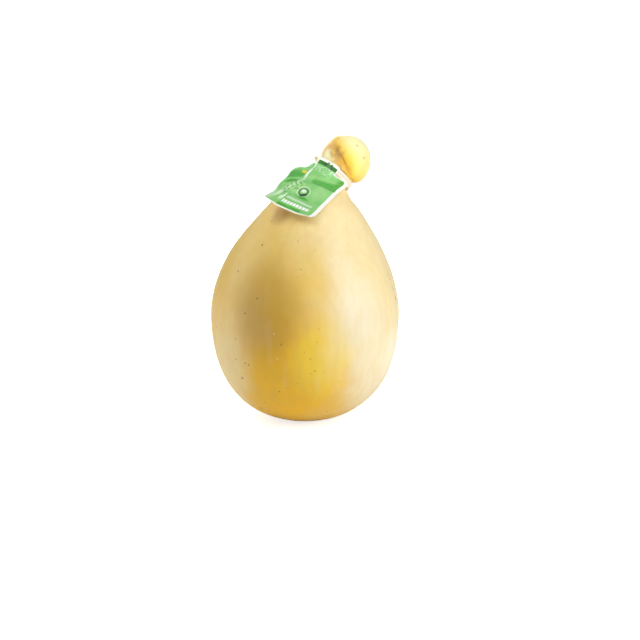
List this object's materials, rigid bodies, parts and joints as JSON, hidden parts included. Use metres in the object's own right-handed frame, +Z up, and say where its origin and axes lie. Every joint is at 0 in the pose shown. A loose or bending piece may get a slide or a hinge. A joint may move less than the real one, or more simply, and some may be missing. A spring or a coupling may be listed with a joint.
{
  "type": "caciocavallo cheese",
  "caption": "Whole pear-shaped stretched-curd cheese with a bent, rounded head, a twine tie round its neck and a film label looped over the tie.",
  "frame": {"origin": "centre of the flat spot that the cheese stands on", "axes": "+Z up, -Y the side that the label faces, +X to its right; the head leans towards +X and +Y"},
  "size_m": [0.16, 0.16, 0.2365],
  "materials": {
    "rind": "waxy satin cheese rind",
    "twine": "twisted natural fibre twine",
    "label_film": "glossy printed green film with a white border"
  },
  "bodies": {
    "root": {"cheese": "rind", "neck_cord": "twine", "label": "label_film"}
  },
  "joints": []
}
